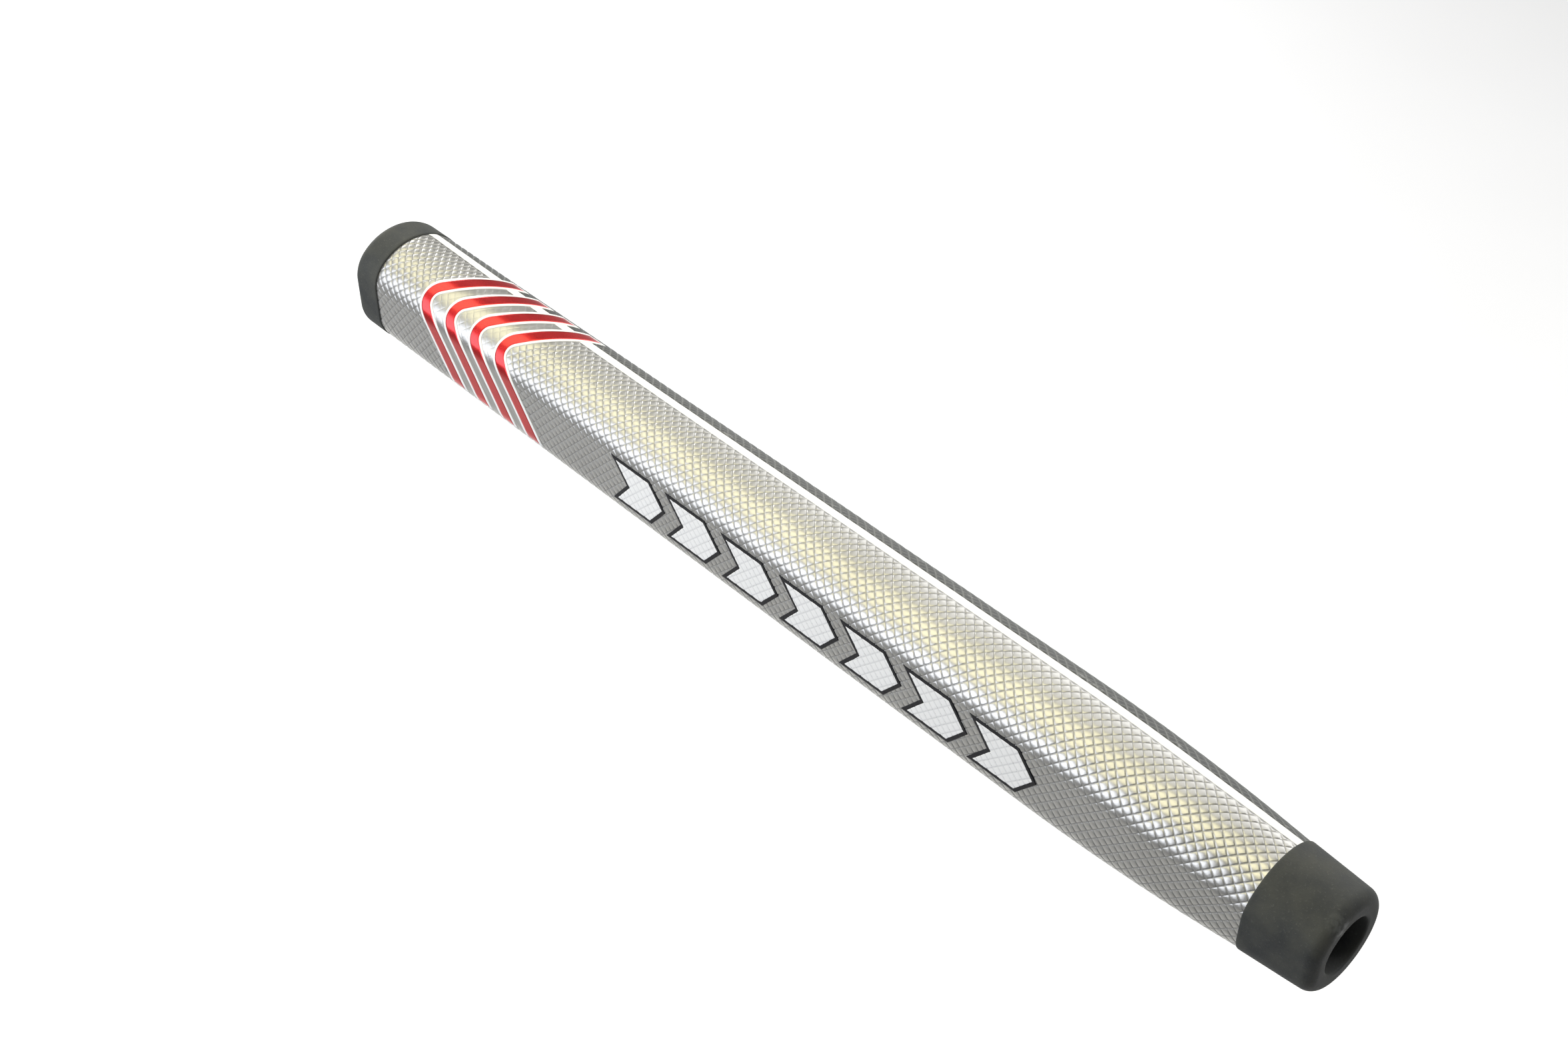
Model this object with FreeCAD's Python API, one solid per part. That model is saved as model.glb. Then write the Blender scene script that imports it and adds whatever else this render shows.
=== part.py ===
"""Golf grip with a flat front, as an assembly of separate pieces in millimetres.

+X runs along the shaft from the butt to the tip, -Y is the normal of the flat front
and +Z is up. The origin is on the shaft's axis, where the shaft's end seats in the cap.
Angles go round the axis from the flat's normal, positive towards +Z, the right side.
"""
import FreeCAD, Part
import math
import os

# Places along the shaft.
CAP_END = -7.0
SEAT = 0.0
CAP_RIM = 3.0
WRAP_START = 3.15
COLLAR_START = 303.0
WRAP_END = 304.5
NECK_END = 314.0
MOUTH = 321.0

# Outline of the wrap: a round with one flat and soft corners, rounder near the butt.
BUTT_RADIUS = 16.05
MID_RADIUS = 16.4
JOINT_RADIUS = 13.3
BUTT_FLAT = 13.35
JOINT_FLAT = 12.35
CORNER_RADIUS = 7.0
BUTT_FLAT_RISE = 0.5
BUTT_CORNER_GAIN = 3.5
BUTT_BLEND_LENGTH = 40.0
LEAST_CORNER = 0.5
SWELL_LENGTH = 230.0
TAPER_START = 245.0
TAPER_POWER = 1.9
STATIONS = (12.0, 22.0, 32.0, 44.0, 60.0, 120.0, 180.0, 230.0, 245.0, 258.0, 270.0, 281.0, 291.0, 299.0)

# Layers, as depths below the wrap's outer face.
SKIN_DEPTH = 0.7
FELT_DEPTH = 1.3
BUTT_NECK_DEPTH = 3.2
FILM_THICKNESS = 0.12

# Shaft bore and the moulded ends.
BORE_RADIUS = 7.15
TIP_NECK_RADIUS = 10.5
VENT_RADIUS = 1.2
CAP_PROUD = 0.1
CAP_FLAT = 14.2
CAP_CORNER_RADIUS = 11.0
CAP_ROUNDING = 2.4
COLLAR_RADIUS = 13.75
COLLAR_END_RADIUS = 12.5
COLLAR_FLAT_SHARE = 0.94
COLLAR_ROUNDING = 2.8
COLLAR_LIP_ROUNDING = 0.2

# Side stripes, and the seam along the middle of the back.
STRIPE_WIDTH = 3.0
STRIPE_ANGLE = 108.0
STRIPE_BUTT_RISE = 9.0
STRIPE_RISE_LENGTH = 120.0
STRIPE_TIP_RISE = 7.0
STRIPE_TIP_START = 255.0
SEAM_GAP = 0.6
SLOT_WIDTH = 3.0
SLOT_DEPTH = 2.9
WELT_CLEARANCE = 0.1

# Four nested red chevrons near the butt, printed along one direction.
BAND_COUNT = 4
BAND_DIRECTION = 52.0
BAND_FIRST_APEX = 24.0
BAND_PITCH = 10.8
BAND_WIDTH = 3.2
BAND_BORDER = 0.75
BAND_END_BORDER = 0.15
BAND_BEND_RADIUS = 5.0
BAND_ARM_ANGLE = 42.0
BAND_REACH = 15.5

# A row of seven arrow blocks along the flat.
BLOCK_COUNT = 7
BLOCK_FIRST = 106.0
BLOCK_PITCH = 20.6
BLOCK_LENGTH = 17.5
BLOCK_HALF_HEIGHT = 7.2
BLOCK_POINT = 5.0
BLOCK_BORDER = 0.9
BLOCK_REACH = 0.5
SHARP_JOIN = 2


def clamp(value):
    """The value, held between 0 and 1."""
    return max(0.0, min(1.0, value))


def taper_share(x):
    """How far the taper to the tip has gone, from 0 to 1."""
    return clamp((x - TAPER_START) / (WRAP_END - TAPER_START)) ** TAPER_POWER


def grip_radius(x):
    """Radius of the wrap: a slight swell to the middle, then the taper."""
    share = clamp(x / SWELL_LENGTH)
    swell = (MID_RADIUS - BUTT_RADIUS) * share * share * (3.0 - 2.0 * share)
    return BUTT_RADIUS + swell - (MID_RADIUS - JOINT_RADIUS) * taper_share(x)


def butt_share(x):
    """How much of the butt's rounder outline is left at x, from 1 to 0."""
    return clamp(1.0 - x / BUTT_BLEND_LENGTH) ** 2


def grip_flat(x):
    """Distance of the flat front from the axis."""
    taper = (BUTT_FLAT - JOINT_FLAT) * taper_share(x)
    return BUTT_FLAT + BUTT_FLAT_RISE * butt_share(x) - taper


def grip_corner(x):
    """Radius of the two corners beside the flat."""
    return CORNER_RADIUS + BUTT_CORNER_GAIN * butt_share(x)


def stripe_angle(x):
    """Angle of a side stripe's middle, which turns to the back near both ends."""
    butt = STRIPE_BUTT_RISE * clamp(1.0 - x / STRIPE_RISE_LENGTH) ** 2
    tip = STRIPE_TIP_RISE * clamp((x - STRIPE_TIP_START) / (WRAP_END - STRIPE_TIP_START)) ** 3
    return STRIPE_ANGLE + butt + tip


def angle_of(width, x):
    """The angle in degrees that a width takes on the round at x."""
    return math.degrees(width / grip_radius(x))


def polar(x, radius, angle):
    """A point at a radius and an angle in degrees from the flat's normal."""
    turn = math.radians(angle)
    return FreeCAD.Vector(x, -radius * math.cos(turn), radius * math.sin(turn))


def arc(x, radius, start, stop):
    """An arc round the axis between two angles."""
    middle = polar(x, radius, 0.5 * (start + stop))
    return Part.Arc(polar(x, radius, start), middle, polar(x, radius, stop)).toShape()


def outline_edges(x, radius, flat, corner, reach):
    """Arc, corner, flat, corner and arc, from -reach to +reach degrees."""
    along = math.sqrt((radius - corner) ** 2 - (flat - corner) ** 2)
    tangent = math.degrees(math.atan2(along, flat - corner))
    low = polar(x, radius, -tangent)
    high = polar(x, radius, tangent)
    flat_low = FreeCAD.Vector(x, -flat, -along)
    flat_high = FreeCAD.Vector(x, -flat, along)
    half = math.radians(0.5 * tangent)
    bulge_y = -(flat - corner) - corner * math.cos(half)
    bulge_z = along + corner * math.sin(half)
    low_bulge = FreeCAD.Vector(x, bulge_y, -bulge_z)
    high_bulge = FreeCAD.Vector(x, bulge_y, bulge_z)
    return [
        arc(x, radius, -reach, -tangent),
        Part.Arc(low, low_bulge, flat_low).toShape(),
        Part.makeLine(flat_low, flat_high),
        Part.Arc(flat_high, high_bulge, high).toShape(),
        arc(x, radius, tangent, reach),
    ]


def grip_edges(x, depth, reach):
    """The wrap's outline at x, moved inwards by a depth."""
    corner = max(grip_corner(x) - depth, LEAST_CORNER)
    return outline_edges(x, grip_radius(x) - depth, grip_flat(x) - depth, corner, reach)


def stations(start, stop):
    """The places of the sections of a loft between two ends."""
    return [start] + [x for x in STATIONS if start < x < stop] + [stop]


def loft(sections):
    """A solid through closed wires, each given as a list of edges."""
    wires = [Part.Wire(Part.__sortEdges__(edges)) for edges in sections]
    return Part.makeLoft(wires, True, False)


def full_body(depth, start, stop):
    """The whole grip inside a depth, as one solid."""
    return loft([grip_edges(x, depth, 180.0) for x in stations(start, stop)])


def front_section(x, outer, inner, reach):
    """A band over the flat and both sides, out to an angle either way."""
    radius = grip_radius(x)
    rims = [
        Part.makeLine(polar(x, radius - outer, side * reach), polar(x, radius - inner, side * reach))
        for side in (-1.0, 1.0)
    ]
    return grip_edges(x, outer, reach) + grip_edges(x, inner, reach) + rims


def side_section(x, outer, inner, start, stop):
    """A band on the round part between two angles."""
    radius = grip_radius(x)
    rims = [
        Part.makeLine(polar(x, radius - outer, angle), polar(x, radius - inner, angle))
        for angle in (start, stop)
    ]
    return [arc(x, radius - outer, start, stop), arc(x, radius - inner, start, stop)] + rims


def foam_sleeve():
    """The foam that gives the shape, with necks for the ends and a slot for the seam."""
    body = full_body(FELT_DEPTH, WRAP_START, WRAP_END)
    butt_neck = full_body(BUTT_NECK_DEPTH, SEAT, WRAP_START)
    tip_neck = cylinder(TIP_NECK_RADIUS, WRAP_END, NECK_END)
    foam = body.fuse([butt_neck, tip_neck])
    bore = cylinder(BORE_RADIUS, SEAT, NECK_END)
    slot = seam_bar(SLOT_WIDTH, SLOT_DEPTH, 0.0)
    return foam.cut([bore, slot])


def cylinder(radius, start, stop):
    """A cylinder on the shaft's axis."""
    base = FreeCAD.Vector(start, 0.0, 0.0)
    return Part.makeCylinder(radius, stop - start, base, FreeCAD.Vector(1.0, 0.0, 0.0))


def seam_bar(width, deep, shallow):
    """A bar along the middle of the back, between two depths below the skin."""
    sections = []
    for x in stations(WRAP_START, WRAP_END):
        bottom = grip_radius(x) - deep
        top = grip_radius(x) - shallow
        corners = [
            FreeCAD.Vector(x, bottom, -0.5 * width),
            FreeCAD.Vector(x, bottom, 0.5 * width),
            FreeCAD.Vector(x, top, 0.5 * width),
            FreeCAD.Vector(x, top, -0.5 * width),
        ]
        sections.append(Part.makePolygon(corners + corners[:1]).Edges)
    return loft(sections)


def seam_welt():
    """The wrap's turned-in edges, bonded into the foam's slot."""
    width = SLOT_WIDTH - 2.0 * WELT_CLEARANCE
    return seam_bar(width, SLOT_DEPTH - WELT_CLEARANCE, FELT_DEPTH + WELT_CLEARANCE)


def felt_backing():
    """The felt layer round the foam, open at the seam."""
    sections = []
    for x in stations(WRAP_START, WRAP_END):
        reach = 180.0 - angle_of(0.5 * SEAM_GAP, x)
        sections.append(front_section(x, SKIN_DEPTH, FELT_DEPTH, reach))
    return loft(sections)


def front_skin():
    """The silver panel over the flat and both sides."""
    sections = []
    for x in stations(WRAP_START, WRAP_END):
        reach = stripe_angle(x) - angle_of(0.5 * STRIPE_WIDTH, x)
        sections.append(front_section(x, 0.0, SKIN_DEPTH, reach))
    return loft(sections)


def right_pinstripe():
    """The narrow strip between the front and the back panel."""
    sections = []
    for x in stations(WRAP_START, WRAP_END):
        half = angle_of(0.5 * STRIPE_WIDTH, x)
        middle = stripe_angle(x)
        sections.append(side_section(x, 0.0, SKIN_DEPTH, middle - half, middle + half))
    return loft(sections)


def right_back_skin():
    """Half of the dark back panel, from the stripe to the seam."""
    sections = []
    for x in stations(WRAP_START, WRAP_END):
        start = stripe_angle(x) + angle_of(0.5 * STRIPE_WIDTH, x)
        stop = 180.0 - angle_of(0.5 * SEAM_GAP, x)
        sections.append(side_section(x, 0.0, SKIN_DEPTH, start, stop))
    return loft(sections)


def butt_cap():
    """The moulded cap: a disc with a rounded rim, a skirt on the foam and a vent."""
    radius = BUTT_RADIUS + CAP_PROUD
    rim_flat = grip_flat(CAP_RIM) + CAP_PROUD
    cap = loft([
        outline_edges(CAP_END, radius, CAP_FLAT, CAP_CORNER_RADIUS, 180.0),
        outline_edges(CAP_RIM, radius, rim_flat, grip_corner(CAP_RIM) + CAP_PROUD, 180.0),
    ])
    cap = cap.makeFillet(CAP_ROUNDING, end_edges(cap, CAP_END))
    neck = full_body(BUTT_NECK_DEPTH, SEAT, CAP_RIM)
    vent = cylinder(VENT_RADIUS, CAP_END, SEAT)
    return cap.cut([neck, vent])


def end_edges(shape, x):
    """The edges of a shape that lie in the plane at x."""
    return [
        edge for edge in shape.Edges
        if all(abs(vertex.X - x) < 1.0e-6 for vertex in edge.Vertexes)
    ]


def collar_edges(x, radius):
    """The collar's outline, with a fainter flat than the wrap's."""
    return outline_edges(x, radius, COLLAR_FLAT_SHARE * radius, CORNER_RADIUS, 180.0)


def tip_collar():
    """The moulded collar, whose lip holds the wrap's end down on the foam."""
    collar = loft([
        collar_edges(COLLAR_START, COLLAR_RADIUS),
        collar_edges(MOUTH, COLLAR_END_RADIUS),
    ])
    collar = collar.makeFillet(COLLAR_ROUNDING, end_edges(collar, MOUTH))
    collar = collar.makeFillet(COLLAR_LIP_ROUNDING, end_edges(collar, COLLAR_START))
    wrap = full_body(0.0, COLLAR_START, WRAP_END)
    neck = cylinder(TIP_NECK_RADIUS, WRAP_END, NECK_END)
    bore = cylinder(BORE_RADIUS, NECK_END, MOUTH)
    return collar.cut([wrap, neck, bore])


def chevron_face(apex, widen, reach):
    """A chevron pointing to the butt: two concentric bends and four straight sides.

    The face lies in the plane z = 0 before it is turned to the printing direction.
    """
    centre = apex + BAND_BEND_RADIUS
    lean = math.radians(BAND_ARM_ANGLE)
    rows = []
    for radius in (BAND_BEND_RADIUS + widen, BAND_BEND_RADIUS - widen):
        bend_x = centre - radius * math.sin(lean)
        bend_w = radius * math.cos(lean)
        end_x = bend_x + (reach - bend_w) / math.tan(lean)
        rows.append((centre - radius, bend_x, bend_w, end_x))
    edges = []
    for tip_x, bend_x, bend_w, end_x in rows:
        low = FreeCAD.Vector(bend_x, -bend_w, 0.0)
        high = FreeCAD.Vector(bend_x, bend_w, 0.0)
        edges.append(Part.makeLine(FreeCAD.Vector(end_x, -reach, 0.0), low))
        edges.append(Part.Arc(low, FreeCAD.Vector(tip_x, 0.0, 0.0), high).toShape())
        edges.append(Part.makeLine(high, FreeCAD.Vector(end_x, reach, 0.0)))
    for side in (-reach, reach):
        ends = [FreeCAD.Vector(row[3], side, 0.0) for row in rows]
        edges.append(Part.makeLine(ends[0], ends[1]))
    return Part.Face(Part.Wire(Part.__sortEdges__(edges)))


def film_sleeve(start, stop):
    """A printed film's thickness all round the wrap between two places."""
    return full_body(-FILM_THICKNESS, start, stop).cut(full_body(0.0, start, stop))


def chevron_film(film, apex, widen, reach):
    """The part of a film sleeve that a chevron covers on the side it is printed from."""
    block = chevron_face(apex, widen, reach).extrude(FreeCAD.Vector(0.0, 0.0, 2.0 * MID_RADIUS))
    turn = FreeCAD.Rotation(FreeCAD.Vector(1.0, 0.0, 0.0), 90.0 - BAND_DIRECTION)
    block.Placement = FreeCAD.Placement(FreeCAD.Vector(0.0, 0.0, 0.0), turn)
    return film.common(block)


def band_pieces():
    """The red chevrons and their white borders, by node name."""
    start = BAND_FIRST_APEX - 2.0 * BAND_BORDER - BAND_WIDTH
    stop = BAND_FIRST_APEX + BAND_COUNT * BAND_PITCH + 2.0 * BAND_REACH
    film = film_sleeve(start, stop)
    pieces = {}
    for index in range(BAND_COUNT):
        apex = BAND_FIRST_APEX + index * BAND_PITCH
        half = 0.5 * BAND_WIDTH
        red = chevron_film(film, apex, half, BAND_REACH)
        whole = chevron_film(film, apex, half + BAND_BORDER, BAND_REACH + BAND_END_BORDER)
        pieces[f"red_band_{index + 1}"] = red
        pieces[f"band_border_{index + 1}"] = whole.cut(red)
    return pieces


def block_face(start):
    """An arrow block above the flat: a bar with a point ahead and a notch behind."""
    level = -BUTT_FLAT - BLOCK_REACH
    stop = start + BLOCK_LENGTH
    half = BLOCK_HALF_HEIGHT - BLOCK_BORDER
    shoulder = stop - BLOCK_POINT
    corners = [
        FreeCAD.Vector(start, level, -half),
        FreeCAD.Vector(shoulder, level, -half),
        FreeCAD.Vector(stop, level, 0.0),
        FreeCAD.Vector(shoulder, level, half),
        FreeCAD.Vector(start, level, half),
        FreeCAD.Vector(start + BLOCK_POINT, level, 0.0),
    ]
    return Part.Face(Part.makePolygon(corners + corners[:1]))


def block_pieces():
    """The white blocks on the flat and their dark outlines, by node name."""
    last = BLOCK_FIRST + (BLOCK_COUNT - 1) * BLOCK_PITCH + BLOCK_LENGTH
    film = film_sleeve(BLOCK_FIRST - BLOCK_POINT, last + BLOCK_POINT)
    down = FreeCAD.Vector(0.0, 2.0 * BLOCK_REACH, 0.0)
    pieces = {}
    for index in range(BLOCK_COUNT):
        face = block_face(BLOCK_FIRST + index * BLOCK_PITCH)
        outer = face.makeOffset2D(BLOCK_BORDER, join=SHARP_JOIN)
        fill = film.common(face.extrude(down))
        whole = film.common(outer.extrude(down))
        pieces[f"block_fill_{index + 1}"] = fill
        pieces[f"block_border_{index + 1}"] = whole.cut(fill)
    return pieces


def mirrored(shape):
    """The same piece on the left side."""
    return shape.mirror(FreeCAD.Vector(0.0, 0.0, 0.0), FreeCAD.Vector(0.0, 0.0, 1.0))


def all_pieces():
    """Every piece of the grip, by node name."""
    stripe = right_pinstripe()
    back = right_back_skin()
    pieces = {
        "foam_sleeve": foam_sleeve(),
        "felt_backing": felt_backing(),
        "seam_welt": seam_welt(),
        "front_skin": front_skin(),
        "right_pinstripe": stripe,
        "left_pinstripe": mirrored(stripe),
        "right_back_skin": back,
        "left_back_skin": mirrored(back),
        "butt_cap": butt_cap(),
        "tip_collar": tip_collar(),
    }
    pieces.update(band_pieces())
    pieces.update(block_pieces())
    return pieces


def main():
    """Write each piece to its own STEP file."""
    os.makedirs("parts", exist_ok=True)
    for name, shape in all_pieces().items():
        shape.exportStep(f"parts/{name}.step")
        box = shape.BoundBox
        print(f"{name:18s} valid={shape.isValid()} solids={len(shape.Solids)} "
              f"volume={shape.Volume:.1f} x={box.XMin:.2f}..{box.XMax:.2f}")


main()
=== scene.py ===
"""Golf grip with a flat front: its visible pieces, their finishes and the studio.

Lengths in the classes are millimetres in the frame's own axes: +X runs from the butt to
the tip, -Y is the normal of the flat front and +Z is up, the grip's right side. They
become metres when a mesh is made. Girth is the distance round the outline from the middle
of the flat, positive towards +Z, and lift is the height above the outline.
"""

import logging
import math
from dataclasses import dataclass
from enum import Enum
from typing import Callable, Optional, Union

import bpy
import numpy as np
from mathutils import Matrix, Vector


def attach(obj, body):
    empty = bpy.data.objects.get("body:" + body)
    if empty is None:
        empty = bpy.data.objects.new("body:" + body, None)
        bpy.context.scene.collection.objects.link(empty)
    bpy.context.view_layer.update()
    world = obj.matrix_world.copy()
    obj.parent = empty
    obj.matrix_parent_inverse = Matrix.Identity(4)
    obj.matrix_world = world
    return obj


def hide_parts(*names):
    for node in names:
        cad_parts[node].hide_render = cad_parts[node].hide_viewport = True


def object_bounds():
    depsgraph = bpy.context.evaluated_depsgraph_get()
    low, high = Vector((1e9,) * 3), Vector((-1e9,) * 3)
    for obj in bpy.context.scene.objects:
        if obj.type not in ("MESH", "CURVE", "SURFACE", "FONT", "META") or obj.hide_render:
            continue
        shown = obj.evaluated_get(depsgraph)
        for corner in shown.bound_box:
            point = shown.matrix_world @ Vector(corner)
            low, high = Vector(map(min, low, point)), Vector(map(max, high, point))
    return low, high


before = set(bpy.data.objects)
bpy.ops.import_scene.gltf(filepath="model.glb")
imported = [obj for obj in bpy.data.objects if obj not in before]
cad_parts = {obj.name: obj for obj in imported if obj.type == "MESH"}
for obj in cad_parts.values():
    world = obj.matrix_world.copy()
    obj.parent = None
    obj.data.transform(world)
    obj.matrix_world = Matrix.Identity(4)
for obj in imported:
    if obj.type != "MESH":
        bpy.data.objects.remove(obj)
CAD_BOX = [list(corner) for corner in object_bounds()]

MM = 0.001
BODY = "root"
LOG = logging.getLogger("grip")
Array = np.ndarray
Colour = tuple[float, float, float, float]


# ---------------------------------------------------------------- numbers and meshes


def smooth(value: Array) -> Array:
    """A soft step: 3t^2 - 2t^3 of the value held between 0 and 1."""
    share = np.clip(value, 0.0, 1.0)
    return share * share * (3.0 - 2.0 * share)


def ripple(x: Array, y: Array, scale: float) -> Array:
    """Slow unevenness from -1 to 1: the mean of three sines of unlike lengths and slants."""
    first = np.sin(x / scale + 1.3 * np.sin(y / scale * 0.7))
    second = np.sin(0.61 * x / scale - 1.7 * y / scale + 2.1)
    third = np.sin(1.83 * x / scale + 0.9 * y / scale + 4.4)
    return (first + second + third) / 3.0


@dataclass
class Surface:
    """Points and faces of one piece, before it becomes a mesh.

    Attributes:
        points: one row of X, Y and Z in millimetres for each point.
        faces: arrays of point numbers, each array with its own count of corners.
        groove: for each point, how deep it lies in a groove, from 0 to 1.
    """

    points: Array
    faces: list[Array]
    groove: Optional[Array] = None

    def signed_volume(self) -> float:
        """The volume, negative if the faces look inwards: a sixth of the triple products."""
        total = 0.0
        for block in self.faces:
            first = self.points[block[:, 0]]
            for corner in range(1, block.shape[1] - 1):
                second = self.points[block[:, corner]]
                third = self.points[block[:, corner + 1]]
                total += float(np.einsum("ij,ij->", first, np.cross(second, third)))
        return total / 6.0

    def mesh(self, name: str) -> bpy.types.Mesh:
        """Make the mesh, with its faces turned outwards.

        Args:
            name: the mesh's name.

        Returns:
            The finished mesh, in metres and smooth.
        """
        outward = self.signed_volume() > 0.0
        blocks = [block if outward else block[:, ::-1] for block in self.faces]
        totals = np.concatenate([np.full(len(block), block.shape[1]) for block in blocks])
        corners = np.concatenate([block.ravel() for block in blocks])
        starts = np.concatenate([[0], np.cumsum(totals)[:-1]])
        mesh = bpy.data.meshes.new(name)
        mesh.vertices.add(len(self.points))
        mesh.vertices.foreach_set("co", (self.points * MM).astype(np.float32).ravel())
        mesh.loops.add(len(corners))
        mesh.loops.foreach_set("vertex_index", corners.astype(np.int32))
        mesh.polygons.add(len(totals))
        mesh.polygons.foreach_set("loop_start", starts.astype(np.int32))
        mesh.polygons.foreach_set("loop_total", totals.astype(np.int32))
        mesh.polygons.foreach_set("use_smooth", np.ones(len(totals), dtype=bool))
        if self.groove is not None:
            layer = mesh.attributes.new("groove", "FLOAT", "POINT")
            layer.data.foreach_set("value", self.groove.astype(np.float32).ravel())
        mesh.update()
        mesh.validate()
        return mesh


def ring_quads(rows: int, ring: int, first: int = 0, last: Optional[int] = None,
               round_rows: bool = False) -> Array:
    """Quads between neighbouring rows of a grid whose rows are closed rings.

    Args:
        rows: how many rows there are.
        ring: how many points a row has.
        first: the first column that gets quads.
        last: the column to stop before, or None for all of them.
        round_rows: whether the last row joins the first.

    Returns:
        One row of four point numbers for each quad.
    """
    row = np.arange(rows if round_rows else rows - 1)[:, None]
    column = np.arange(first, ring if last is None else last)[None, :]
    after = (row + 1) % rows
    beside = (column + 1) % ring
    near, far = row * ring, after * ring
    corners = [near + column, near + beside, far + beside, far + column]
    return np.stack(np.broadcast_arrays(*corners), axis=-1).reshape(-1, 4)


def tube_surface(points: Array, groove: Optional[Array] = None) -> Surface:
    """A closed solid from rows of rings: quads between the rings and a cap at each end.

    Args:
        points: the points, as rows by ring by 3.
        groove: the points' groove values, as rows by ring.

    Returns:
        The surface.
    """
    rows, ring = points.shape[:2]
    ends = np.stack([np.arange(ring)[::-1], (rows - 1) * ring + np.arange(ring)])
    flat = None if groove is None else groove.reshape(-1)
    return Surface(points.reshape(-1, 3), [ring_quads(rows, ring), ends], flat)


# ---------------------------------------------------------------- forms


@dataclass(frozen=True)
class Outline:
    """A round with one flat and soft corners, one for each place in the arrays.

    Attributes:
        radius: radius of the round part.
        flat: distance of the flat from the axis.
        corner: radius of the two corners.
    """

    radius: Array
    flat: Array
    corner: Array

    def half_flat(self) -> Array:
        """Half the flat's width: the leg of the corner centre's right triangle."""
        return np.sqrt((self.radius - self.corner) ** 2 - (self.flat - self.corner) ** 2)

    def turn(self) -> Array:
        """The angle that a corner turns through, where it meets the round."""
        return np.arctan2(self.half_flat(), self.flat - self.corner)

    def girth_at(self, angle: Array) -> Array:
        """Girth at an angle on the round: half flat, corner arc, then round arc."""
        turn = self.turn()
        return self.half_flat() + self.corner * turn + self.radius * (angle - turn)

    def half_girth(self) -> Array:
        """Girth from the middle of the flat to the middle of the back."""
        return self.girth_at(np.pi)

    def place(self, x: Array, girth: Array, lift: Array) -> Array:
        """Points at a girth and a lift: along the flat, round the corner, round the axis.

        Args:
            x: places along the shaft.
            girth: signed girth of each point.
            lift: height of each point above the outline.

        Returns:
            The points, with X, Y and Z on the last axis.
        """
        along = self.half_flat()
        turn = self.turn()
        run = np.abs(girth)
        on_corner = np.clip((run - along) / self.corner, 0.0, turn)
        on_round = np.maximum((run - along - self.corner * turn) / self.radius, 0.0)
        normal = on_corner + on_round
        rounded = on_round > 0.0
        centre_y = np.where(rounded, 0.0, -(self.flat - self.corner))
        centre_z = np.where(rounded, 0.0, np.minimum(run, along))
        reach = np.where(rounded, self.radius, self.corner) + lift
        y = centre_y - reach * np.cos(normal)
        z = centre_z + reach * np.sin(normal)
        return np.stack(np.broadcast_arrays(x, y, z * np.sign(girth)), axis=-1)


@dataclass(frozen=True)
class WrapForm:
    """The wrap's form along the shaft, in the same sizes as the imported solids."""

    start: float = 3.15
    end: float = 304.5
    butt_radius: float = 16.05
    mid_radius: float = 16.4
    joint_radius: float = 13.3
    butt_flat: float = 13.35
    joint_flat: float = 12.35
    corner: float = 7.0
    butt_flat_rise: float = 0.5
    butt_corner_gain: float = 3.5
    butt_blend: float = 40.0
    swell_length: float = 230.0
    taper_start: float = 245.0
    taper_power: float = 1.9
    stripe_degrees: float = 108.0
    stripe_rise: float = 9.0
    stripe_rise_length: float = 120.0
    stripe_tip_rise: float = 7.0
    stripe_tip_start: float = 255.0
    stripe_width: float = 3.0
    seam_gap: float = 0.6
    skin: float = 0.7

    def outline(self, x: Array) -> Outline:
        """The outline at x: rounder near the butt, a slight swell, then the taper."""
        butt = np.clip(1.0 - x / self.butt_blend, 0.0, 1.0) ** 2
        share = np.clip((x - self.taper_start) / (self.end - self.taper_start), 0.0, 1.0)
        taper = share ** self.taper_power
        swell = (self.mid_radius - self.butt_radius) * smooth(x / self.swell_length)
        radius = self.butt_radius + swell - (self.mid_radius - self.joint_radius) * taper
        rise = self.butt_flat_rise * butt
        flat = self.butt_flat + rise - (self.butt_flat - self.joint_flat) * taper
        return Outline(radius, flat, self.corner + self.butt_corner_gain * butt)

    def stripe_girth(self, x: Array) -> Array:
        """Girth of a side stripe's middle, which turns to the back near both ends."""
        butt = self.stripe_rise * np.clip(1.0 - x / self.stripe_rise_length, 0.0, 1.0) ** 2
        share = (x - self.stripe_tip_start) / (self.end - self.stripe_tip_start)
        tip = self.stripe_tip_rise * np.clip(share, 0.0, 1.0) ** 3
        return self.outline(x).girth_at(np.radians(self.stripe_degrees + butt + tip))


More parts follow.
